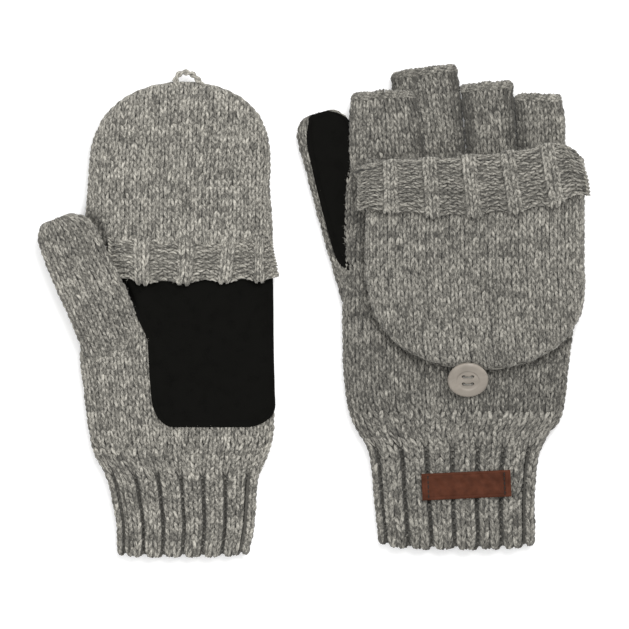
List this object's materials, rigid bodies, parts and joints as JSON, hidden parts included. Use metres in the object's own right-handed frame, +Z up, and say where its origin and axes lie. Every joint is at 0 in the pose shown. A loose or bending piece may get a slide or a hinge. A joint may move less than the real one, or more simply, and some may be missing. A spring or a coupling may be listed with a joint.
{
  "type": "convertible flip-top mittens",
  "caption": "Pair of chunky knitted half-finger mittens with caps that flip over the fingertips, suede palm and thumb patches, and a button and loop that hold each cap open.",
  "frame": {"origin": "middle of the pair's footprint, on the surface that the mittens lie on", "axes": "+X across the pair from the left mitten to the right one, +Y from the cuffs towards the fingertips, +Z up off the surface"},
  "size_m": [0.2748, 0.2478, 0.0295],
  "materials": {
    "wool": "heathered grey chunky wool yarn with light and dark flecks",
    "suede": "near-black matt suede",
    "leather": "brown grained leather",
    "button": "satin taupe plastic",
    "thread": "light grey sewing thread"
  },
  "bodies": {
    "left_hand": {"left_hand": "wool", "left_cuff": "wool", "left_index_stall": "wool", "left_middle_stall": "wool", "left_ring_stall": "wool", "left_pinky_stall": "wool", "left_palm_patch": "suede", "left_label": "leather"},
    "left_thumb": {"left_thumb": "wool", "left_thumb_patch": "suede"},
    "left_cap": {"left_cap_back": "wool", "left_cap_front": "wool", "left_button_loop": "wool", "left_cap_brim": "wool"},
    "left_button": {"left_button": "button", "left_button_thread": "thread"},
    "right_hand": {"right_hand": "wool", "right_cuff": "wool", "right_index_stall": "wool", "right_middle_stall": "wool", "right_ring_stall": "wool", "right_pinky_stall": "wool", "right_palm_patch": "suede", "right_label": "leather"},
    "right_thumb": {"right_thumb": "wool", "right_thumb_patch": "suede"},
    "right_cap": {"right_cap_back": "wool", "right_cap_front": "wool", "right_button_loop": "wool"},
    "right_brim": {"right_cap_brim": "wool"},
    "right_button": {"right_button": "button", "right_button_thread": "thread"}
  },
  "joints": [
    {"name": "left_cap_flip", "type": "hinge", "parent": "left_hand", "child": "left_cap", "pos_m": [-0.06598, 0.0321, -0.0004], "axis": [-1, 0, 0], "range_deg": [0, 180], "deforming": ["left_index_stall", "left_middle_stall", "left_ring_stall", "left_pinky_stall"]},
    {"name": "left_thumb_swing", "type": "hinge", "parent": "left_hand", "child": "left_thumb", "pos_m": [-0.10048, -0.0163, 0.011], "axis": [0, 0, 1], "range_deg": [0, 20]},
    {"name": "left_button_tilt", "type": "hinge", "parent": "left_hand", "child": "left_button", "pos_m": [-0.06418, -0.0544, 0.00155], "axis": [0, 1, 0], "range_deg": [-6, 6]},
    {"name": "right_mitten_lift", "type": "slide", "parent": "left_hand", "child": "right_hand", "axis": [0, 0, 1], "range_m": [0, 0.15]},
    {"name": "right_cap_flip", "type": "hinge", "parent": "right_hand", "child": "right_cap", "pos_m": [0.07222, 0.0795, 0.0121], "axis": [-1, 0, 0], "range_deg": [0, 180], "deforming": ["right_index_stall", "right_middle_stall", "right_ring_stall", "right_pinky_stall", "right_button_loop"]},
    {"name": "right_brim_unfold", "type": "hinge", "parent": "right_cap", "child": "right_brim", "pos_m": [0.07222, 0.0832, 0.0274], "axis": [-1, 0, 0], "range_deg": [0, 180]},
    {"name": "right_thumb_swing", "type": "hinge", "parent": "right_hand", "child": "right_thumb", "pos_m": [0.02962, 0.0066, 0.005], "axis": [0, 0, 1], "range_deg": [0, 6]},
    {"name": "right_button_tilt", "type": "hinge", "parent": "right_hand", "child": "right_button", "pos_m": [0.07702, -0.0347, 0.0188], "axis": [0, 1, 0], "range_deg": [-10, 10]}
  ]
}
